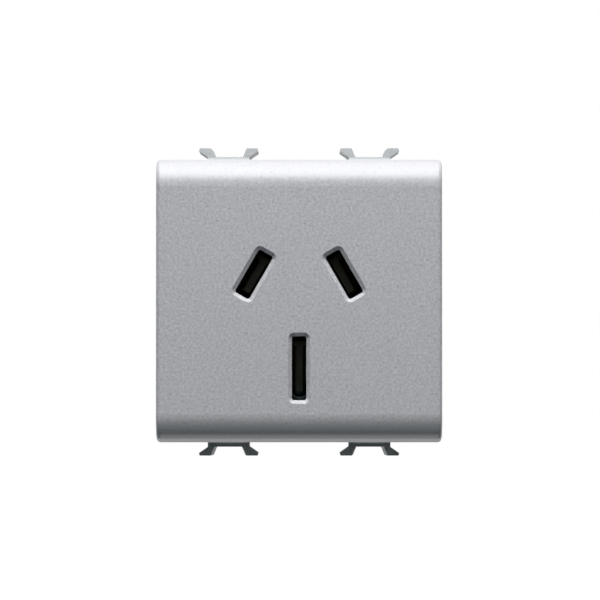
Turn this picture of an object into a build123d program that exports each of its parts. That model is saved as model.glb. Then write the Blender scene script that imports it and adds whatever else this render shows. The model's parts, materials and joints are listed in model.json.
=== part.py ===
from build123d import *
import os
from math import cos, radians, sin

# X runs to the right seen from the front, Y from the face towards the wall, and Z up.
# The origin is the middle of the frame seat, the plane where the cover's rim meets the frame.
# All sizes are in millimetres.

MODULE_COUNT = 2  # module widths that the insert takes up in its frame

# Front cover: face, rim and walls
COVER_WIDTH = 43.5
COVER_HEIGHT = 43.2
COVER_DEPTH = 7.0  # from the frame seat forward to the face
FACE_ROUNDING = 4.8  # over the top and bottom edges of the face
FACE_TURN = 52.0  # degrees that the rounding turns through before it meets the slanting band
BAND_RISE = 0.52  # of the band between the rounding and the straight wall
BAND_DEPTH = 2.2
BAND_EDGE = 0.8  # radius of the softened edges of the band
COVER_EDGE = 0.65  # along the flat sides and round the corners
COVER_WALL = 1.8
FACE_WALL = 2.0

# Pin pattern of the plug: two leaning line pins and an upright earth pin
LINE_PIN_RADIUS = 7.92  # from the pattern's middle to each line pin
LINE_PIN_BEARING = 60.0  # degrees from upright to each line pin
LINE_PIN_LEAN = 30.0  # degrees that a line pin leans from upright
EARTH_PIN_RADIUS = 10.31
PIN_REACH = 17.1  # how far a plug's pins go in behind the face
PIN_END_ROOM = 0.4  # left between a pin's end and the contact's web

# Pin slots in the face
LINE_SLOT_LENGTH = 7.5
LINE_SLOT_WIDTH = 2.5
EARTH_SLOT_LENGTH = 9.75
EARTH_SLOT_WIDTH = 2.2
SLOT_CORNER = 0.4
SLOT_BEVEL = 0.55  # of the lip round each slot

# Snap arms of the cover and the teeth that they hook over
ARM_Z = 11.0  # height of each arm's middle above or below the origin
ARM_WIDTH = 6.4
ARM_THICKNESS = 1.25
ARM_LENGTH = 8.0
ARM_LEAD = 0.4  # bevel that leads the arm over its tooth
ARM_BAR = 2.0  # what is left of the arm behind its window
ARM_RAIL = 1.0  # what is left of the arm on each side of its window
TOOTH_HEIGHT = 1.1
TOOTH_LENGTH = 2.3
TOOTH_CREST = 0.3

# Rear body
BODY_DEPTH = 26.5  # from the frame seat back to the rear face
BODY_LIP_REACH = 1.5  # how far the body goes into the cover
BODY_WALL = 2.2
BODY_LIP_WALL = 1.4
REAR_WALL = 2.0
BODY_CORNER = 1.2
REAR_EDGE = 0.8
REAR_BORDER = 1.6  # rim left standing round the sunken rear panel
REAR_SINK = 0.6
SIDE_SINK = 0.6  # depth of the sunken panel in each side wall
SIDE_PANEL_HEIGHT = 30.0
SIDE_PANEL_BORDER = 2.4  # from the panel to the rear face, and to the snap arms
ARM_GUIDE = 1.0  # thickness of the ribs beside each snap arm
PARTITION = 1.4
PARTITION_Z = -3.2  # middle of the wall between the line pins and the earth pin

# Pin guide: the inner insulator behind the face
GUIDE_SEAT_Y = 2.0  # ledge in the body that the guide rests on
GUIDE_PLATE = 2.0
TOWER_WALL = 1.2

# Frame lugs, two above and two below, one pair for each module
FRAME_RAIL = 2.2  # thickness of frame held between the rim and the lugs
LUG_LENGTH = 9.0
LUG_FLOOR = 0.75  # how far the lug's floor stands out past the cover's edge
LUG_FLOOR_THICKNESS = 0.9
LUG_FOOT = 1.5  # wall that closes the hollow under the floor at the front
LUG_COVE = 0.7  # radius of the hollow in front of the floor and wings
LUG_RISE = 1.37  # from the floor to the tips of the wings
LUG_NECK = 6.4
LUG_SPAN = 9.15
LUG_CHANNEL = 4.45  # width between the wings at the floor
LUG_MOUTH = 5.6  # width between the wings at their tips
LUG_NARROWING = 0.35  # how much further in each wing's inner side stands at the rear
LUG_FLARE_START = 0.02  # above the floor
LUG_TIP = 0.4  # height of the outer edge at the tip
LUG_TIP_SLANT = 0.12

# Contacts, folded from brass strip
STRIP = 0.8
BEND = 0.9  # bend radius at the middle of the strip
LINE_JAW_WIDTH = 5.2
EARTH_JAW_WIDTH = 7.0
JAW_GAP = 1.1  # at the grip, less than a pin's thickness
JAW_BACK = 3.6  # across the web, between the middles of the leaves
JAW_MOUTH = 4.2  # across the flared front ends
GRIP_DEPTH = 2.4  # from the jaw's front end to the grip
TAIL_WIDTH = 3.2
RISER_REACH = 1.6  # from the jaw's edge out to the riser
NECK_STUB = 1.6

# Terminals: tab, clamp plate and screw
TERMINAL_INSET = 6.6  # from the body's side wall to the outer screws
TAB_SEAT = 0.8  # how far a tab laps over the walls of its bay
COLLAR_RADIUS = 2.7
COLLAR_HEIGHT = 1.2
BAY_WALL = 1.2
PLATE_SIZE = 7.8
PLATE_THICKNESS = 1.2
PLATE_GROOVE = 0.35
WIRE_SPREAD = 2.8  # from the screw's axis to each wire
CLAMP_TRAVEL = 3.0
SHANK_RADIUS = 1.7
SHANK_TIP = 0.3  # how far the shank stands out of the collar when open
TIP_ROOM = 0.4  # left in front of the shank when screwed down
HEAD_RADIUS = 3.0
HEAD_HEIGHT = 2.2
DRIVE_SLOT_WIDTH = 0.9
DRIVE_SLOT_DEPTH = 1.1
DRIVER_HOLE_RADIUS = 3.4
DRIVER_BOSS = 1.3  # wall of the round boss that each driver hole opens through
DRIVER_FUNNEL = 0.6

# Wire windows in the top and bottom walls
WINDOW_WIDTH = 8.2
WINDOW_LENGTH = 5.0
WINDOW_LAP = 0.4  # how far a window reaches in front of its tab
WINDOW_FUNNEL = 0.5

# Clearances
SLIP = 0.15  # between mouldings that slide together
SEAT_GAP = 0.1  # between mouldings that stop each other
SLIDE = 0.15  # round a clamp plate in its bay
THREAD = 0.05  # round a shank in its tapped collar
FREE = 0.15  # round a shank in its clamp plate
HEAD_GAP = 0.05  # between a head and its plate
CLAMP_GAP = 0.2  # left between plate and tab when screwed down

# Places that follow from the sizes above
FACE_Y = -COVER_DEPTH
INNER_FACE_Y = FACE_Y + FACE_WALL
CAVITY_X = COVER_WIDTH / 2 - COVER_WALL
CAVITY_Z = COVER_HEIGHT / 2 - COVER_WALL
BODY_X = CAVITY_X - SLIP
BODY_Z = CAVITY_Z - SLIP
INSIDE_X = BODY_X - BODY_WALL
INSIDE_Z = BODY_Z - BODY_WALL
REAR_INSIDE_Y = BODY_DEPTH - REAR_WALL
LINE_PIN_X = LINE_PIN_RADIUS * sin(radians(LINE_PIN_BEARING))
LINE_PIN_Z = LINE_PIN_RADIUS * cos(radians(LINE_PIN_BEARING))
EARTH_PIN_Z = -EARTH_PIN_RADIUS
MODULE_WIDTH = COVER_WIDTH / MODULE_COUNT
LUG_FRONT_Y = FRAME_RAIL + SEAT_GAP
LUG_FLOOR_Z = COVER_HEIGHT / 2 + LUG_FLOOR
JAW_FRONT_Y = GUIDE_SEAT_Y + SEAT_GAP + STRIP / 2
WEB_Y = FACE_Y + PIN_REACH + PIN_END_ROOM + STRIP / 2
COLLAR_Y = WEB_Y + STRIP / 2 + TIP_ROOM + CLAMP_TRAVEL + SHANK_TIP
TAB_Y = COLLAR_Y + COLLAR_HEIGHT + STRIP
TAB_MIDDLE_Y = TAB_Y - STRIP / 2
PLATE_Y = TAB_Y + CLAMP_GAP + CLAMP_TRAVEL
HEAD_Y = PLATE_Y + PLATE_THICKNESS + HEAD_GAP
BAY = PLATE_SIZE + 2 * SLIDE
TAB_SIZE = BAY + 2 * TAB_SEAT
TERMINAL_Z = INSIDE_Z - BAY / 2
TERMINAL_X = INSIDE_X - TERMINAL_INSET
WINDOW_Y = TAB_Y - WINDOW_LAP + WINDOW_LENGTH / 2

# Each pin: name, middle in X and Z, lean seen from the front, slot length and width
PINS = [
    ("active", -LINE_PIN_X, LINE_PIN_Z, -LINE_PIN_LEAN, LINE_SLOT_LENGTH, LINE_SLOT_WIDTH),
    ("neutral", LINE_PIN_X, LINE_PIN_Z, LINE_PIN_LEAN, LINE_SLOT_LENGTH, LINE_SLOT_WIDTH),
    ("earth", 0.0, EARTH_PIN_Z, 0.0, EARTH_SLOT_LENGTH, EARTH_SLOT_WIDTH),
]

# Each terminal: name, screw axis in X and Z
TERMINALS = [
    ("active", -TERMINAL_X, TERMINAL_Z),
    ("neutral", TERMINAL_X, TERMINAL_Z),
    ("earth", 0.0, -TERMINAL_Z),
]


def block(x0, x1, y0, y1, z0, z1):
    size = (x1 - x0, y1 - y0, z1 - z0)
    return Pos(x0, y0, z0) * Box(*size, align=Align.MIN)


def rod(x, z, y0, y1, radius):
    return Pos(x, (y0 + y1) / 2, z) * Rot(90, 0, 0) * Cylinder(radius, y1 - y0)


def prism(sketch, y0, y1):
    # A sketch drawn as seen from the front, carried from depth y0 to y1
    return extrude(Plane.XZ.offset(-y1) * sketch, y1 - y0)


def slot_outline(pin, margin=0.0):
    name, x, z, lean, length, width = pin
    outline = RectangleRounded(width + 2 * margin, length + 2 * margin, SLOT_CORNER + margin)
    return Pos(x, z) * Rot(0, 0, lean) * outline


def slot_mouth(pin):
    # The space inside the bevelled lip of a slot
    wide = Plane.XZ.offset(-FACE_Y) * slot_outline(pin, SLOT_BEVEL)
    narrow = Plane.XZ.offset(-FACE_Y - SLOT_BEVEL) * slot_outline(pin)
    return loft([wide, narrow], ruled=True)


def guide_outline(pin, margin):
    name, x, z, lean, length, width = pin
    return Pos(x, z) * Rot(0, 0, lean) * Rectangle(width + 2 * margin, length + 2 * margin)


def cover_outside():
    # Seen from the side: a flat face, then at top and bottom a rounding, a slanting band and a wall
    turn = radians(FACE_TURN)
    top = COVER_HEIGHT / 2
    band_y = FACE_Y + FACE_ROUNDING * (1 - cos(turn))
    band_z = top - BAND_RISE
    face_z = band_z - FACE_ROUNDING * sin(turn)
    middle = (FACE_Y + FACE_ROUNDING, face_z)
    upper = Polyline((0, top), (band_y + BAND_DEPTH, top), (band_y, band_z))
    upper += CenterArc(middle, FACE_ROUNDING, 180 - FACE_TURN, FACE_TURN)
    rim = Line((0, -top), (0, top))
    face = Line((FACE_Y, -face_z), (FACE_Y, face_z))
    side = make_face(upper + mirror(upper, Plane.XZ) + rim + face)
    band_ends = side.vertices().group_by(Axis.X)[1:3]
    side = fillet(band_ends[0] + band_ends[1], BAND_EDGE)
    return extrude(Plane.YZ * side, COVER_WIDTH / 2, both=True)


def cover_cavity():
    side = Rectangle(-INNER_FACE_Y, 2 * CAVITY_Z, align=(Align.MAX, Align.CENTER))
    side = fillet(side.vertices().group_by(Axis.X)[0], FACE_ROUNDING - COVER_WALL)
    return extrude(Plane.YZ * side, CAVITY_X, both=True)


def front_cover():
    cover = cover_outside()
    sides = cover.faces().filter_by(Axis.X).edges().filter_by(lambda e: e.center().Y < 0)
    cover = fillet(sides, COVER_EDGE)
    cover -= cover_cavity()
    for pin in PINS:
        cover -= prism(slot_outline(pin), FACE_Y, INNER_FACE_Y)
        cover -= slot_mouth(pin)
    for side in (-1, 1):
        for z in (-ARM_Z, ARM_Z):
            cover += snap_arm(side, z)
    return cover


def snap_arm(side, z):
    x0, x1 = CAVITY_X, CAVITY_X + ARM_THICKNESS
    arm = block(x0, x1, -SEAT_GAP, ARM_LENGTH, -ARM_WIDTH / 2, ARM_WIDTH / 2)
    window_end = ARM_LENGTH - ARM_BAR
    window_start = window_end - TOOTH_LENGTH - 2 * SEAT_GAP
    half = ARM_WIDTH / 2 - ARM_RAIL
    arm -= block(x0, x1, window_start, window_end, -half, half)
    lead = arm.edges().group_by(Axis.Y)[-1].sort_by(Axis.X)[0]
    arm = chamfer(lead, ARM_LEAD)
    return Pos(0, 0, z) * (arm if side > 0 else mirror(arm, Plane.YZ))


def snap_tooth(side, z):
    back = ARM_LENGTH - ARM_BAR - SEAT_GAP
    front = back - TOOTH_LENGTH
    crest = BODY_X + TOOTH_HEIGHT
    wedge = Polygon((BODY_X, front), (crest, back - TOOTH_CREST), (crest, back), (BODY_X, back), align=None)
    half = ARM_WIDTH / 2 - ARM_RAIL - SEAT_GAP
    tooth = extrude(wedge, half, both=True)
    return Pos(0, 0, z) * (tooth if side > 0 else mirror(tooth, Plane.YZ))


def lug_channel(spread, y):
    # Section of the space between the wings, at depth y
    floor = LUG_FLOOR_Z
    tip = floor + LUG_RISE
    half, mouth = LUG_CHANNEL / 2 - spread, LUG_MOUTH / 2 - spread
    section = Polygon((-half, floor), (half, floor), (mouth, tip), (-mouth, tip), align=None)
    return Plane.XZ.offset(-y) * section


def frame_lug():
    # One upper lug, with its middle at X = 0 and its foot on the body's top wall
    floor = LUG_FLOOR_Z
    tip = floor + LUG_RISE
    right = [
        (LUG_NECK / 2, BODY_Z),
        (LUG_NECK / 2, floor + LUG_FLARE_START),
        (LUG_SPAN / 2, tip - LUG_TIP),
        (LUG_SPAN / 2 - LUG_TIP_SLANT, tip),
    ]
    left = [(-x, z) for x, z in reversed(right)]
    outline = Polygon(*right, *left, align=None)
    front = LUG_FRONT_Y
    lip = front + LUG_COVE
    end = front + LUG_LENGTH
    lug = prism(outline, front, end)
    lug -= loft([lug_channel(0, front), lug_channel(LUG_NARROWING, end)])
    half = LUG_SPAN / 2
    lug -= block(-half, half, front, lip, floor, tip)
    lug -= Pos(0, front, floor) * Rot(0, 90, 0) * Cylinder(LUG_COVE, LUG_SPAN)
    hollow = LUG_CHANNEL / 2
    return lug - block(-hollow, hollow, front + LUG_FOOT, end, BODY_Z, floor - LUG_FLOOR_THICKNESS)


def terminal_bay(x, z):
    # Three walls that guide the clamp plate; the body's own wall is the fourth
    outward = 1 if z > 0 else -1
    reach = BAY / 2 + BAY_WALL
    walls = Pos(x, z) * Rectangle(2 * reach, 2 * reach)
    walls -= Pos(x, z + outward * BAY_WALL) * Rectangle(BAY, BAY + 2 * BAY_WALL)
    return prism(walls, TAB_Y, REAR_INSIDE_Y)


def wire_window(x, z):
    outward = 1 if z > 0 else -1
    wall_plane = Plane((x, WINDOW_Y, outward * BODY_Z), x_dir=(1, 0, 0), z_dir=(0, 0, -outward))
    outline = Rectangle(WINDOW_WIDTH, WINDOW_LENGTH)
    funnel = Rectangle(WINDOW_WIDTH + 2 * WINDOW_FUNNEL, WINDOW_LENGTH + 2 * WINDOW_FUNNEL)
    mouth = loft([wall_plane * funnel, wall_plane.offset(WINDOW_FUNNEL) * outline])
    return extrude(wall_plane * outline, BODY_WALL) + mouth


def driver_hole(x, z):
    hole = rod(x, z, REAR_INSIDE_Y, BODY_DEPTH, DRIVER_HOLE_RADIUS)
    mouth = Cone(DRIVER_HOLE_RADIUS, DRIVER_HOLE_RADIUS + DRIVER_FUNNEL, DRIVER_FUNNEL)
    return hole + Pos(x, BODY_DEPTH - DRIVER_FUNNEL / 2, z) * Rot(-90, 0, 0) * mouth


def rear_panel():
    # Sunken fields of the rear wall, with a boss left standing round each driver hole
    # and ribs left over the partitions
    inset = REAR_EDGE + REAR_BORDER
    field = Rectangle(2 * (BODY_X - inset), 2 * (BODY_Z - inset))
    field -= Pos(0, PARTITION_Z) * Rectangle(2 * BODY_X, PARTITION)
    field -= Pos(0, PARTITION_Z) * Rectangle(PARTITION, BODY_Z - PARTITION_Z, align=(Align.CENTER, Align.MIN))
    for name, x, z in TERMINALS:
        field -= Pos(x, z) * Circle(DRIVER_HOLE_RADIUS + DRIVER_BOSS)
    return prism(field, BODY_DEPTH - REAR_SINK, BODY_DEPTH)


def side_panel(side):
    start = ARM_LENGTH + SIDE_PANEL_BORDER
    low, high = sorted((side * (BODY_X - SIDE_SINK), side * BODY_X))
    half = SIDE_PANEL_HEIGHT / 2
    return block(low, high, start, BODY_DEPTH - SIDE_PANEL_BORDER, -half, half)


def arm_guides(side, z):
    # Two ribs that keep a snap arm in line, one above and one below it
    low, high = sorted((side * BODY_X, side * (BODY_X + ARM_THICKNESS)))
    inner = ARM_WIDTH / 2 + SLIP
    rib = block(low, high, LUG_FRONT_Y, ARM_LENGTH, inner, inner + ARM_GUIDE)
    return Pos(0, 0, z) * (rib + mirror(rib, Plane.XY))


def rear_body():
    outside = RectangleRounded(2 * BODY_X, 2 * BODY_Z, BODY_CORNER)
    body = prism(outside, -BODY_LIP_REACH, BODY_DEPTH)
    rear = body.faces().sort_by(Axis.Y)[-1]
    body = chamfer(rear.edges(), REAR_EDGE)
    body -= rear_panel()
    recess_x = BODY_X - BODY_LIP_WALL
    recess_z = BODY_Z - BODY_LIP_WALL
    body -= block(-recess_x, recess_x, -BODY_LIP_REACH, GUIDE_SEAT_Y, -recess_z, recess_z)
    body -= block(-INSIDE_X, INSIDE_X, GUIDE_SEAT_Y, REAR_INSIDE_Y, -INSIDE_Z, INSIDE_Z)
    half = PARTITION / 2
    low, high = PARTITION_Z - half, PARTITION_Z + half
    body += block(-INSIDE_X, INSIDE_X, GUIDE_SEAT_Y, REAR_INSIDE_Y, low, high)
    body += block(-half, half, GUIDE_SEAT_Y, REAR_INSIDE_Y, high, INSIDE_Z)
    for name, x, z in TERMINALS:
        body += terminal_bay(x, z)
        body -= wire_window(x, z)
        body -= driver_hole(x, z)
    lug = frame_lug()
    for place in GridLocations(MODULE_WIDTH, 0, MODULE_COUNT, 1):
        body += place * lug
        body += place * mirror(lug, Plane.XY)
    for side in (-1, 1):
        body -= side_panel(side)
        for z in (-ARM_Z, ARM_Z):
            body += snap_tooth(side, z)
            body += arm_guides(side, z)
    return body


def pin_guide():
    plate_x = BODY_X - BODY_LIP_WALL - SEAT_GAP
    plate_z = BODY_Z - BODY_LIP_WALL - SEAT_GAP
    front = GUIDE_SEAT_Y - GUIDE_PLATE
    guide = block(-plate_x, plate_x, front, GUIDE_SEAT_Y, -plate_z, plate_z)
    for pin in PINS:
        guide += prism(guide_outline(pin, SEAT_GAP + TOWER_WALL), INNER_FACE_Y + SEAT_GAP, front)
    for pin in PINS:
        guide -= prism(guide_outline(pin, SEAT_GAP), INNER_FACE_Y, GUIDE_SEAT_Y)
    return guide


def jaw(across, along, origin, width):
    # Two leaves that close on the pin, joined by a web behind it
    grip = JAW_FRONT_Y + GRIP_DEPTH
    half_grip = (JAW_GAP + STRIP) / 2
    right = [(JAW_MOUTH / 2, JAW_FRONT_Y), (half_grip, grip), (JAW_BACK / 2, WEB_Y)]
    left = [(-u, y) for u, y in reversed(right)]
    spring = trace(FilletPolyline(*right, *left, radius=BEND), STRIP)
    return extrude(Plane(origin, x_dir=across, z_dir=along) * spring, width / 2, both=True)


def tail(across, along, origin, points):
    # The strip from the web back to the terminal, bent twice
    strip = trace(FilletPolyline(*points, radius=BEND), STRIP)
    plane = Plane(origin, x_dir=along, z_dir=(-across[0], 0, -across[2]))
    return extrude(plane * strip, TAIL_WIDTH / 2, both=True)


def tab_outline(x, z):
    # Laps over the bay's three walls and stops short of the body's own wall
    outward = 1 if z > 0 else -1
    top = INSIDE_Z - 2 * SLIDE
    low = abs(z) - TAB_SIZE / 2
    return Pos(x, outward * (top + low) / 2) * Rectangle(TAB_SIZE, top - low)


def tapped_tab(contact, x, z):
    contact += rod(x, z, COLLAR_Y, COLLAR_Y + COLLAR_HEIGHT, COLLAR_RADIUS)
    return contact - rod(x, z, COLLAR_Y, TAB_Y, SHANK_RADIUS + THREAD)


def line_contact():
    # The active contact; the neutral one is its mirror image
    name, x, z, lean, length, width = PINS[0]
    across = (cos(radians(lean)), 0, sin(radians(lean)))
    along = (-sin(radians(lean)), 0, cos(radians(lean)))
    terminal_x, terminal_z = TERMINALS[0][1:]
    riser = LINE_JAW_WIDTH / 2 + RISER_REACH
    end = riser + NECK_STUB
    path = [(-LINE_JAW_WIDTH / 2, WEB_Y), (riser, WEB_Y), (riser, TAB_MIDDLE_Y), (end, TAB_MIDDLE_Y)]
    contact = jaw(across, along, (x, 0, z), LINE_JAW_WIDTH)
    contact += tail(across, along, (x, 0, z), path)
    stub = [
        (x + end * along[0] + u * across[0], z + end * along[2] + u * across[2])
        for u in (-TAIL_WIDTH / 2, TAIL_WIDTH / 2)
    ]
    tab_edge = terminal_x + TAB_SIZE / 2
    neck = Polygon(*stub, (tab_edge, terminal_z), (tab_edge, terminal_z - TAB_SIZE / 2), align=None)
    contact += prism(tab_outline(terminal_x, terminal_z) + neck, TAB_Y - STRIP, TAB_Y)
    return tapped_tab(contact, terminal_x, terminal_z)


def earth_contact():
    name, x, z, lean, length, width = PINS[2]
    across, along = (1, 0, 0), (0, 0, 1)
    terminal_x, terminal_z = TERMINALS[2][1:]
    riser = EARTH_JAW_WIDTH / 2 + RISER_REACH
    end = terminal_z - z
    path = [(-EARTH_JAW_WIDTH / 2, WEB_Y), (riser, WEB_Y), (riser, TAB_MIDDLE_Y), (end, TAB_MIDDLE_Y)]
    contact = jaw(across, along, (x, 0, z), EARTH_JAW_WIDTH)
    contact += tail(across, along, (x, 0, z), path)
    contact += prism(tab_outline(terminal_x, terminal_z), TAB_Y - STRIP, TAB_Y)
    return tapped_tab(contact, terminal_x, terminal_z)


def clamp_plate(x, z):
    half = PLATE_SIZE / 2
    plate = block(x - half, x + half, PLATE_Y, PLATE_Y + PLATE_THICKNESS, z - half, z + half)
    plate = chamfer(plate.edges().filter_by(Axis.Y), PLATE_GROOVE)
    for wire_x in (x - WIRE_SPREAD, x + WIRE_SPREAD):
        groove = Polygon(
            (wire_x - 2 * PLATE_GROOVE, PLATE_Y),
            (wire_x + 2 * PLATE_GROOVE, PLATE_Y),
            (wire_x, PLATE_Y + PLATE_GROOVE),
            align=None,
        )
        plate -= extrude(Plane.XY.offset(z) * groove, half, both=True)
    return plate - rod(x, z, PLATE_Y, PLATE_Y + PLATE_THICKNESS, SHANK_RADIUS + FREE)


def terminal_screw(x, z):
    tip = COLLAR_Y - SHANK_TIP
    top = HEAD_Y + HEAD_HEIGHT
    head = rod(x, z, HEAD_Y, top, HEAD_RADIUS)
    half = DRIVE_SLOT_WIDTH / 2
    head -= block(x - HEAD_RADIUS, x + HEAD_RADIUS, top - DRIVE_SLOT_DEPTH, top, z - half, z + half)
    return head + rod(x, z, tip, HEAD_Y, SHANK_RADIUS)


active_contact = line_contact()
nodes = {
    "front_cover": front_cover(),
    "rear_body": rear_body(),
    "pin_guide": pin_guide(),
    "active_contact": active_contact,
    "neutral_contact": mirror(active_contact, Plane.YZ),
    "earth_contact": earth_contact(),
}
for name, x, z in TERMINALS:
    nodes[f"{name}_clamp_plate"] = clamp_plate(x, z)
    nodes[f"{name}_screw"] = terminal_screw(x, z)

os.makedirs("parts", exist_ok=True)
for name, shape in nodes.items():
    export_step(shape, f"parts/{name}.step")
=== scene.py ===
import json
from math import ceil, cos, radians, sin, tau

import bmesh
import bpy
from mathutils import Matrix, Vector


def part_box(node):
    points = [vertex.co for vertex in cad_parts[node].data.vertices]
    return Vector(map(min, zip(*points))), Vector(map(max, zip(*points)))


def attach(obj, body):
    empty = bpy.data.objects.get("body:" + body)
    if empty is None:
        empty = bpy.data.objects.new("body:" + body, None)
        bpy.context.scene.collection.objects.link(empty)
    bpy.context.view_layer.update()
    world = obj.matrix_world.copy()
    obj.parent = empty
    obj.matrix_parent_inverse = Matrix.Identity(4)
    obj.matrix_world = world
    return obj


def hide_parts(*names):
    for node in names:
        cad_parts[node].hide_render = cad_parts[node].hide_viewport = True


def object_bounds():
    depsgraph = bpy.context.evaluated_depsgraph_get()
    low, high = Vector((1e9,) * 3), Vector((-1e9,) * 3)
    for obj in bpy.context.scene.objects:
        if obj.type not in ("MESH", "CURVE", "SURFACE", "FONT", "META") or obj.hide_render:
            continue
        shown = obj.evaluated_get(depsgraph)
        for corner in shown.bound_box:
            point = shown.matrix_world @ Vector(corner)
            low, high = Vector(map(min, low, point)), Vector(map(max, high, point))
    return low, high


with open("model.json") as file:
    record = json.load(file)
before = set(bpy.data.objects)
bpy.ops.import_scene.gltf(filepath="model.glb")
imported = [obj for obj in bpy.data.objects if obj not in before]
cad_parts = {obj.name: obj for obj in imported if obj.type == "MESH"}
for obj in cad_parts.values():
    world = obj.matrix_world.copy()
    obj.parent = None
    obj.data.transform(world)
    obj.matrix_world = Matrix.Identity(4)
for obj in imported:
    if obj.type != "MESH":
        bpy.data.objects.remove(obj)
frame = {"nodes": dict(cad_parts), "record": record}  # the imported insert, in metres, face towards -Y
cadBox = [list(corner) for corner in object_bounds()]
print("frame loaded:", len(frame["nodes"]), "nodes")


def addNode(tree, kind, values=None):
    node = tree.nodes.new(kind)
    for name, value in (values or {}).items():
        node.inputs[name].default_value = value
    return node


def addMath(tree, operation, *inputs):
    # each input is a socket to link from, or a plain number
    node = tree.nodes.new("ShaderNodeMath")
    node.operation = operation
    for socket, given in zip(node.inputs, inputs):
        if isinstance(given, bpy.types.NodeSocket):
            tree.links.new(given, socket)
        else:
            socket.default_value = given
    return node.outputs[0]


grainNoise = {
    "fine": {"Detail": 2.0, "Roughness": 0.6},
    "patch": {"Detail": 3.0, "Roughness": 0.5},
    "middle": 0.5,  # the level that the noise swings about
}


def makeGrainGroup():
    # fine mottle of a spark-eroded mould, as a brightness factor and a height
    group = bpy.data.node_groups.new("sparkGrain", "ShaderNodeTree")
    for name in ("Scale", "Contrast", "Patch Scale", "Patch Contrast"):
        group.interface.new_socket(name, in_out="INPUT", socket_type="NodeSocketFloat")
    for name in ("Shade", "Height"):
        group.interface.new_socket(name, in_out="OUTPUT", socket_type="NodeSocketFloat")
    link = group.links.new
    given = group.nodes.new("NodeGroupInput")
    out = group.nodes.new("NodeGroupOutput")
    place = group.nodes.new("ShaderNodeTexCoord")
    fine = addNode(group, "ShaderNodeTexNoise", grainNoise["fine"])
    patch = addNode(group, "ShaderNodeTexNoise", grainNoise["patch"])
    shade = 1.0
    for noise, scale, contrast in ((fine, "Scale", "Contrast"), (patch, "Patch Scale", "Patch Contrast")):
        link(place.outputs["Object"], noise.inputs["Vector"])
        link(given.outputs[scale], noise.inputs["Scale"])
        swing = addMath(group, "SUBTRACT", noise.outputs["Fac"], grainNoise["middle"])
        shade = addMath(group, "MULTIPLY_ADD", swing, given.outputs[contrast], shade)
    link(shade, out.inputs["Shade"])
    link(fine.outputs["Fac"], out.inputs["Height"])
    return group


sparkGrain = makeGrainGroup()


def makeGrained(name, settings):
    material = bpy.data.materials.new(name)
    material.use_nodes = True
    tree = material.node_tree
    link = tree.links.new
    shader = tree.nodes["Principled BSDF"]
    shader.inputs["Metallic"].default_value = settings["metallic"]
    grain = tree.nodes.new("ShaderNodeGroup")
    grain.name = "sparkGrain"
    grain.node_tree = sparkGrain
    grain.inputs["Scale"].default_value = settings["grainScale"]
    grain.inputs["Contrast"].default_value = settings["grainContrast"]
    grain.inputs["Patch Scale"].default_value = settings["patchScale"]
    grain.inputs["Patch Contrast"].default_value = settings["patchContrast"]
    tint = tree.nodes.new("ShaderNodeVectorMath")
    tint.operation = "SCALE"
    tint.inputs[0].default_value = settings["colour"]
    link(grain.outputs["Shade"], tint.inputs["Scale"])
    link(tint.outputs["Vector"], shader.inputs["Base Color"])
    rough = addNode(tree, "ShaderNodeMapRange", {
        "To Min": settings["roughness"] - settings["roughnessSwing"],
        "To Max": settings["roughness"] + settings["roughnessSwing"],
    })
    link(grain.outputs["Height"], rough.inputs["Value"])
    link(rough.outputs["Result"], shader.inputs["Roughness"])
    bump = addNode(tree, "ShaderNodeBump", {"Strength": settings["bump"], "Distance": settings["grainDepth"]})
    link(grain.outputs["Height"], bump.inputs["Height"])
    link(bump.outputs["Normal"], shader.inputs["Normal"])
    return material


coverPaint = {
    "colour": (0.505, 0.504, 0.526),
    "metallic": 0.27,  # share of flake in the paint
    "roughness": 0.3,
    "roughnessSwing": 0.06,
    "grainScale": 2700.0,  # about a third of a millimetre
    "grainContrast": 0.9,
    "patchScale": 150.0,
    "patchContrast": 0.05,
    "bump": 0.25,
    "grainDepth": 0.00002,
    "flatHeight": 0.0170,  # half the height of the flat face, past which the mottle fades
    "fadeHeight": 0.0025,
    "fadedShare": 0.3,
}


def makeCoverPaint():
    material = makeGrained("satinGreyPaint", coverPaint)
    tree = material.node_tree
    link = tree.links.new
    place = tree.nodes.new("ShaderNodeTexCoord")
    split = tree.nodes.new("ShaderNodeSeparateXYZ")
    link(place.outputs["Object"], split.inputs[0])
    fade = addNode(tree, "ShaderNodeMapRange", {
        "From Min": coverPaint["flatHeight"],
        "From Max": coverPaint["flatHeight"] + coverPaint["fadeHeight"],
        "To Min": coverPaint["grainContrast"],
        "To Max": coverPaint["grainContrast"] * coverPaint["fadedShare"],
    })
    fade.interpolation_type = "SMOOTHSTEP"
    link(addMath(tree, "ABSOLUTE", split.outputs["Z"]), fade.inputs["Value"])
    link(fade.outputs["Result"], tree.nodes["sparkGrain"].inputs["Contrast"])
    return material


bodyPlastic = {
    "colour": (0.39, 0.403, 0.41),
    "metallic": 0.0,
    "roughness": 0.5,
    "roughnessSwing": 0.08,
    "grainScale": 2300.0,
    "grainContrast": 0.22,
    "patchScale": 90.0,
    "patchContrast": 0.06,
    "bump": 0.3,
    "grainDepth": 0.00003,
}

blackPlastic = {
    "colour": (0.085, 0.1, 0.094),
    "metallic": 0.0,
    "roughness": 0.6,
    "roughnessSwing": 0.08,
    "grainScale": 1800.0,
    "grainContrast": 0.3,
    "patchScale": 80.0,
    "patchContrast": 0.2,
    "bump": 0.3,
    "grainDepth": 0.00003,
}

brassStrip = {
    "colour": (0.47, 0.41, 0.27),
    "metallic": 1.0,
    "roughness": 0.42,
    "roughnessSwing": 0.1,
    "grainScale": 900.0,
    "grainContrast": 0.2,
    "patchScale": 200.0,
    "patchContrast": 0.25,
    "bump": 0.15,
    "grainDepth": 0.00001,
}

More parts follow.
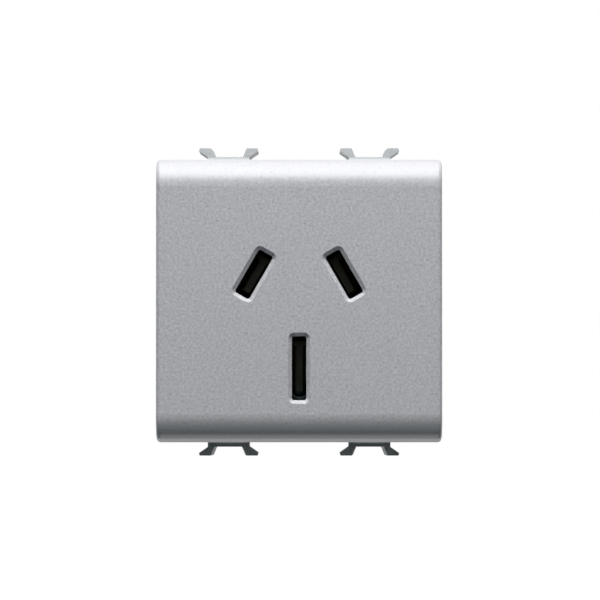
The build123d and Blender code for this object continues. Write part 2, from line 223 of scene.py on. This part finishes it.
zincPlate = {
    "colour": (0.62, 0.63, 0.64),
    "metallic": 1.0,
    "roughness": 0.32,
    "roughnessSwing": 0.1,
    "grainScale": 1500.0,
    "grainContrast": 0.2,
    "patchScale": 300.0,
    "patchContrast": 0.2,
    "bump": 0.2,
    "grainDepth": 0.00001,
}

finishes = {
    "satin_grey": makeCoverPaint(),
    "grey_moulding": makeGrained("greyMoulding", bodyPlastic),
    "black_moulding": makeGrained("blackMoulding", blackPlastic),
    "contact_brass": makeGrained("rolledBrass", brassStrip),
    "zinc_steel": makeGrained("zincPlate", zincPlate),
}
for subpart in frame["record"]["subparts"]:
    for slot in frame["nodes"][subpart["node"]].material_slots:
        slot.material = finishes[subpart["material_slot"]]
print("finishes given to the nodes:", len(finishes))

meshSettings = {
    "mergeDistance": 1e-7,
    "pickDistance": 1e-6,  # how near to a plane the edges on it are picked
}


def deselectAll():
    bpy.ops.object.select_all(action="DESELECT")


def applyPlace():
    bpy.ops.object.transform_apply(location=True, rotation=True, scale=True)


def addRod(x, z, front, rear, radius, sides):
    deselectAll()
    bpy.ops.mesh.primitive_cylinder_add(
        vertices=sides, radius=radius, depth=rear - front,
        location=(x, (front + rear) / 2, z), rotation=(radians(90), 0, 0))
    applyPlace()
    return bpy.context.object


def bevelEdges(piece, offset, segments, rule):
    # call in edit mode: rounds the edges whose two ends both pass the rule
    bpy.ops.mesh.select_mode(type="EDGE")
    mesh = bmesh.from_edit_mesh(piece.data)
    for edge in mesh.edges:
        edge.select_set(all(rule(vert.co) for vert in edge.verts))
    bmesh.update_edit_mesh(piece.data)
    bpy.ops.mesh.bevel(offset=offset, segments=segments, affect="EDGES")


def mergeDoubles():
    # call in edit mode
    bpy.ops.mesh.select_all(action="SELECT")
    bpy.ops.mesh.remove_doubles(threshold=meshSettings["mergeDistance"])


def cutSquare(place, **cleared):
    # call in edit mode: cuts the mesh across Y at a place and closes the cut
    bpy.ops.mesh.select_all(action="SELECT")
    bpy.ops.mesh.bisect(plane_co=place, plane_no=(0, 1, 0), use_fill=True,
                        threshold=meshSettings["mergeDistance"], **cleared)


def applyModifier(piece, kind, **values):
    modifier = piece.modifiers.new(kind.lower(), kind)
    for key, value in values.items():
        setattr(modifier, key, value)
    bpy.context.view_layer.objects.active = piece
    bpy.ops.object.modifier_apply(modifier=modifier.name)


def combine(piece, other, operation):
    applyModifier(piece, "BOOLEAN", object=other, operation=operation, solver="EXACT")
    bpy.data.objects.remove(other)


def cleanMesh(piece, smoothAngle):
    deselectAll()
    piece.select_set(True)
    bpy.context.view_layer.objects.active = piece
    bpy.ops.object.mode_set(mode="EDIT")
    mergeDoubles()
    bpy.ops.mesh.normals_make_consistent(inside=False)
    bpy.ops.object.mode_set(mode="OBJECT")
    bpy.ops.object.shade_smooth_by_angle(angle=radians(smoothAngle))


screwSettings = {
    "headHeight": 0.0022,
    "headSides": 64,
    "headCrown": 0.00045,  # rounding of the head's rim at the rear
    "crownSegments": 6,
    "headFoot": 0.00012,
    "footSegments": 2,
    "driveWidth": 0.0009,
    "driveDepth": 0.0011,
    "driveBevel": 0.0001,
    "driveSegments": 3,
    "pitch": 0.0006,
    "crestRadius": 0.00168,
    "rootRadius": 0.00134,
    "crestFlat": 0.12,  # shares of one pitch
    "flank": 0.36,
    "leadIn": 1.5,  # pitches of thread in front of the square cut
    "threadSteps": 32,
    "pointRadius": 0.00125,
    "pointLength": 0.0007,
    "pointSides": 48,
    "pointBevel": 0.0003,
    "pointSegments": 3,
    "overlap": 0.0003,
    "smoothAngle": 32.0,
}


def makeScrewHead(x, z, front, rear, radius):
    head = addRod(x, z, front, rear, radius, screwSettings["headSides"])
    rearRim = rear - meshSettings["pickDistance"]
    frontRim = front + meshSettings["pickDistance"]
    bpy.ops.object.mode_set(mode="EDIT")
    bevelEdges(head, screwSettings["headCrown"], screwSettings["crownSegments"],
               lambda place: place.y > rearRim)
    bevelEdges(head, screwSettings["headFoot"], screwSettings["footSegments"],
               lambda place: place.y < frontRim)
    bpy.ops.object.mode_set(mode="OBJECT")
    return head


def cutDrive(head, x, z, rear, radius):
    # one straight slot across the head, with softened edges at its bottom
    deselectAll()
    bpy.ops.mesh.primitive_cube_add(size=1, location=(x, rear, z))
    cutter = bpy.context.object
    # past both sides of the head, and as far out of it as in
    cutter.scale = (3 * radius, 2 * screwSettings["driveDepth"], screwSettings["driveWidth"])
    applyPlace()
    bpy.ops.object.mode_set(mode="EDIT")
    bevelEdges(cutter, screwSettings["driveBevel"], screwSettings["driveSegments"],
               lambda place: place.y < rear)
    bpy.ops.object.mode_set(mode="OBJECT")
    combine(head, cutter, "DIFFERENCE")


def drawTooth(x, start, z):
    # one pitch of the thread's outline, drawn point by point at the root
    deselectAll()
    pitch = screwSettings["pitch"]
    rise = screwSettings["crestRadius"] - screwSettings["rootRadius"]
    flank = screwSettings["flank"] * pitch
    crest = screwSettings["crestFlat"] * pitch
    root = pitch - crest - 2 * flank
    bpy.ops.mesh.primitive_plane_add(size=pitch, location=(x, start, z))
    bpy.ops.object.mode_set(mode="EDIT")
    bpy.ops.mesh.select_mode(type="VERT")  # a lone point can't be selected among edges
    bpy.ops.mesh.select_all(action="SELECT")
    bpy.ops.mesh.merge(type="CENTER")
    bpy.ops.transform.translate(value=(screwSettings["rootRadius"], 0, 0))
    for step in ((rise, flank, 0), (0, crest, 0), (-rise, flank, 0), (0, root, 0)):
        bpy.ops.mesh.extrude_region_move(TRANSFORM_OT_translate={"value": step})
    bpy.ops.object.mode_set(mode="OBJECT")
    return bpy.context.object


def makeThread(x, z, front, rear):
    # the tooth is carried round the axis, and cut square at both ends
    pitch = screwSettings["pitch"]
    steps = screwSettings["threadSteps"]
    start = front - screwSettings["leadIn"] * pitch
    turns = ceil((rear - start) / pitch) + 1
    thread = drawTooth(x, start, z)
    applyModifier(thread, "SCREW", axis="Y", angle=tau, screw_offset=pitch, iterations=turns,
                  steps=steps, render_steps=steps)
    applyPlace()
    bpy.ops.object.mode_set(mode="EDIT")
    mergeDoubles()
    cutSquare((x, front, z), clear_inner=True)
    cutSquare((x, rear, z), clear_outer=True)
    bpy.ops.mesh.select_all(action="SELECT")
    bpy.ops.mesh.normals_make_consistent(inside=False)
    bpy.ops.object.mode_set(mode="OBJECT")
    return thread


def makePoint(x, z, front, rear):
    point = addRod(x, z, front, rear, screwSettings["pointRadius"], screwSettings["pointSides"])
    frontRim = front + meshSettings["pickDistance"]
    bpy.ops.object.mode_set(mode="EDIT")
    bevelEdges(point, screwSettings["pointBevel"], screwSettings["pointSegments"],
               lambda place: place.y < frontRim)
    bpy.ops.object.mode_set(mode="OBJECT")
    return point


def makeScrew(node):
    low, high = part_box(node)
    x, z = (low.x + high.x) / 2, (low.z + high.z) / 2
    radius = (high.x - low.x) / 2
    foot = high.y - screwSettings["headHeight"]
    threadEnd = low.y + screwSettings["pointLength"]
    overlap = screwSettings["overlap"]
    screw = makeScrewHead(x, z, foot, high.y, radius)
    cutDrive(screw, x, z, high.y, radius)
    combine(screw, makeThread(x, z, threadEnd, foot + overlap), "UNION")
    combine(screw, makePoint(x, z, low.y, threadEnd + overlap), "UNION")
    cleanMesh(screw, screwSettings["smoothAngle"])
    return screw


def copyScrew(first, firstNode, node):
    deselectAll()
    first.select_set(True)
    bpy.context.view_layer.objects.active = first
    bpy.ops.object.duplicate()
    bpy.ops.transform.translate(value=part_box(node)[0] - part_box(firstNode)[0])
    applyPlace()
    return bpy.context.object


terminals = ("active", "neutral", "earth")
firstNode = terminals[0] + "_screw"
firstScrew = makeScrew(firstNode)
for name in terminals:
    node = name + "_screw"
    screw = firstScrew if node == firstNode else copyScrew(firstScrew, firstNode, node)
    screw.name = name + "TerminalScrew"
    screw.data.materials.clear()
    screw.data.materials.append(finishes["zinc_steel"])
    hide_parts(node)
    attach(screw, node)
print("threaded screws made:", len(terminals), "each of", len(firstScrew.data.polygons), "faces")

plateSettings = {
    "bevel": 0.00014,
    "segments": 2,
    "flatAngle": 1.0,  # degrees, faces that turn less than this become one
    "edgeAngle": 25.0,  # degrees, edges that turn more than this are softened
    "smoothAngle": 40.0,
}


def softenPlate(node):
    # a copy of the plain clamp plate with its punched edges rolled over
    deselectAll()
    frame["nodes"][node].select_set(True)
    bpy.context.view_layer.objects.active = frame["nodes"][node]
    bpy.ops.object.duplicate()
    plate = bpy.context.object
    bpy.ops.object.mode_set(mode="EDIT")
    mergeDoubles()
    bpy.ops.mesh.dissolve_limited(angle_limit=radians(plateSettings["flatAngle"]))
    bpy.ops.object.mode_set(mode="OBJECT")
    applyModifier(plate, "BEVEL", width=plateSettings["bevel"], segments=plateSettings["segments"],
                  limit_method="ANGLE", angle_limit=radians(plateSettings["edgeAngle"]))
    cleanMesh(plate, plateSettings["smoothAngle"])
    return plate


for name in terminals:
    plate = softenPlate(name + "_clamp_plate")
    plate.name = name + "ClampPlate"
    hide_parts(name + "_clamp_plate")
    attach(plate, name + "_clamp")
print("clamp plates softened:", len(terminals))

cameraSettings = {
    "faceDistance": 0.600,  # from the lens to the face
    "elevation": -1.37,  # degrees, a little below the face
    "pixel": 0.0001518,  # width of one photo pixel at the face
    "photoWidth": 600,
    "aim": (0.00014, 0.00004),  # X and Z at the middle of the photo
    "sensor": 36.0,
    "nearClip": 0.01,
}


def makeCamera():
    data = bpy.data.cameras.new("photoCamera")
    camera = bpy.data.objects.new("photoCamera", data)
    bpy.context.scene.collection.objects.link(camera)
    aimX, aimZ = cameraSettings["aim"]
    aim = Vector((aimX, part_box("front_cover")[0].y, aimZ))
    tilt = radians(cameraSettings["elevation"])
    back = Vector((0, -cos(tilt), sin(tilt)))
    camera.location = aim + cameraSettings["faceDistance"] * back
    camera.rotation_euler = (radians(90) - tilt, 0, 0)
    data.sensor_width = cameraSettings["sensor"]
    width = cameraSettings["pixel"] * cameraSettings["photoWidth"]
    data.lens = cameraSettings["sensor"] * cameraSettings["faceDistance"] / width
    data.clip_start = cameraSettings["nearClip"]
    bpy.context.scene.camera = camera


studio = {
    "keyPlace": (0.0, -0.22, 0.42),
    "keySize": 0.42,
    "keyPower": 5.62,
    # world light from the front (0) round to the rear (1): a dim patch behind the lens in a dark ring
    "worldLevels": (
        (0.0, (0.52, 0.58, 0.58)),
        (0.018, (0.52, 0.58, 0.58)),
        (0.03, (0.045, 0.055, 0.055)),
        (0.15, (0.04, 0.052, 0.052)),
        (0.35, (0.02, 0.034, 0.038)),
        (0.5, (0.06, 0.08, 0.085)),
        (0.62, (0.45, 0.47, 0.47)),
        (0.75, (0.88, 0.88, 0.88)),
        (1.0, (1.0, 1.0, 1.0)),
    ),
    # reflections show the pale backdrop, and a dark room with that patch behind the lens
    "mirrorLift": 0.45,  # how much sooner the backdrop starts above than below
    "mirrorSides": 1.2,  # how much later it starts at the sides
    "mirrorReach": 1.2,  # the levels run over this much of Y, lifted and narrowed, each way
    "mirrorLevels": (
        (0.066, (0.03, 0.03, 0.03)),
        (0.078, (0.4, 0.6, 0.74)),
        (0.088, (0.4, 0.6, 0.74)),
        (0.096, (0.03, 0.03, 0.03)),
        (0.19, (0.03, 0.03, 0.03)),
        (0.28, (1.0, 1.0, 1.0)),
        (0.36, (1.0, 1.0, 1.0)),
        (0.5, (0.72, 0.72, 0.72)),
        (0.75, (0.62, 0.62, 0.62)),
        (0.97, (0.6, 0.6, 0.6)),
    ),
}


def makeKeyLight():
    data = bpy.data.lights.new("topSoftbox", "AREA")
    data.shape = "SQUARE"
    data.size = studio["keySize"]
    data.energy = studio["keyPower"]
    light = bpy.data.objects.new("topSoftbox", data)
    bpy.context.scene.collection.objects.link(light)
    light.location = studio["keyPlace"]
    light.rotation_euler = (-Vector(studio["keyPlace"])).to_track_quat("-Z", "Y").to_euler()
    light.visible_glossy = False  # the backdrop alone gives the sheen


def addLevels(tree, levels, source):
    ramp = tree.nodes.new("ShaderNodeValToRGB")
    steps = ramp.color_ramp.elements
    steps.remove(steps[-1])  # a new ramp has two steps, and the first becomes the first level
    firstPosition, firstColour = levels[0]
    steps[0].position = firstPosition
    steps[0].color = (*firstColour, 1)
    for position, colour in levels[1:]:
        steps.new(position).color = (*colour, 1)
    tree.links.new(source, ramp.inputs["Fac"])
    return ramp.outputs["Color"]


def makeWorld():
    world = bpy.data.worlds.new("whiteStudio")
    bpy.context.scene.world = world
    world.use_nodes = True
    tree = world.node_tree
    link = tree.links.new
    place = tree.nodes.new("ShaderNodeTexCoord")
    split = tree.nodes.new("ShaderNodeSeparateXYZ")
    link(place.outputs["Generated"], split.inputs[0])
    turn = addNode(tree, "ShaderNodeMapRange", {"From Min": -1.0})
    link(split.outputs["Y"], turn.inputs["Value"])
    lifted = addMath(tree, "MULTIPLY_ADD", split.outputs["Z"], studio["mirrorLift"], split.outputs["Y"])
    sideways = addMath(tree, "ABSOLUTE", split.outputs["X"])
    narrowed = addMath(tree, "MULTIPLY_ADD", sideways, -studio["mirrorSides"], lifted)
    reach = studio["mirrorReach"]
    mirror = addNode(tree, "ShaderNodeMapRange", {"From Min": -reach, "From Max": reach})
    link(narrowed, mirror.inputs["Value"])
    path = tree.nodes.new("ShaderNodeLightPath")
    sheen = tree.nodes.new("ShaderNodeMix")
    sheen.data_type = "RGBA"
    link(path.outputs["Is Glossy Ray"], sheen.inputs["Factor"])
    link(addLevels(tree, studio["worldLevels"], turn.outputs["Result"]), sheen.inputs["A"])
    link(addLevels(tree, studio["mirrorLevels"], mirror.outputs["Result"]), sheen.inputs["B"])
    # the lens sees plain white, also through clear things
    seen = addMath(tree, "MAXIMUM", path.outputs["Is Camera Ray"], path.outputs["Is Transmission Ray"])
    white = tree.nodes.new("ShaderNodeMix")
    white.data_type = "RGBA"
    white.inputs["B"].default_value = (1, 1, 1, 1)
    link(seen, white.inputs["Factor"])
    link(sheen.outputs["Result"], white.inputs["A"])
    link(white.outputs["Result"], tree.nodes["Background"].inputs["Color"])


floorSettings = {
    "drop": 0.030,  # below the lowest lug
    "size": 3.0,
    "colour": (0.62, 0.62, 0.62, 1),
    "glow": 0.80,
}


def makeFloor():
    deselectAll()
    level = cadBox[0][2] - floorSettings["drop"]
    bpy.ops.mesh.primitive_plane_add(size=floorSettings["size"], location=(0, 0, level))
    floor = bpy.context.object
    floor.name = "paleFloor"
    material = bpy.data.materials.new("paleFloor")
    material.use_nodes = True
    tree = material.node_tree
    tree.nodes.clear()
    link = tree.links.new
    shade = addNode(tree, "ShaderNodeBsdfDiffuse", {"Color": floorSettings["colour"]})
    glow = addNode(tree, "ShaderNodeEmission", {"Strength": floorSettings["glow"]})
    pale = tree.nodes.new("ShaderNodeAddShader")
    link(shade.outputs[0], pale.inputs[0])
    link(glow.outputs[0], pale.inputs[1])
    clear = tree.nodes.new("ShaderNodeBsdfTransparent")
    path = tree.nodes.new("ShaderNodeLightPath")
    side = tree.nodes.new("ShaderNodeNewGeometry")
    # seen by the lens, and not from underneath
    fromAbove = addMath(tree, "SUBTRACT", path.outputs["Is Camera Ray"], side.outputs["Backfacing"])
    fromAbove.node.use_clamp = True
    mix = tree.nodes.new("ShaderNodeMixShader")
    link(fromAbove, mix.inputs[0])
    link(clear.outputs[0], mix.inputs[1])
    link(pale.outputs[0], mix.inputs[2])
    out = tree.nodes.new("ShaderNodeOutputMaterial")
    link(mix.outputs[0], out.inputs["Surface"])
    floor.data.materials.append(material)


makeCamera()
makeKeyLight()
makeWorld()
makeFloor()
bpy.context.scene.view_settings.view_transform = "Standard"
print("camera, light and floor set")
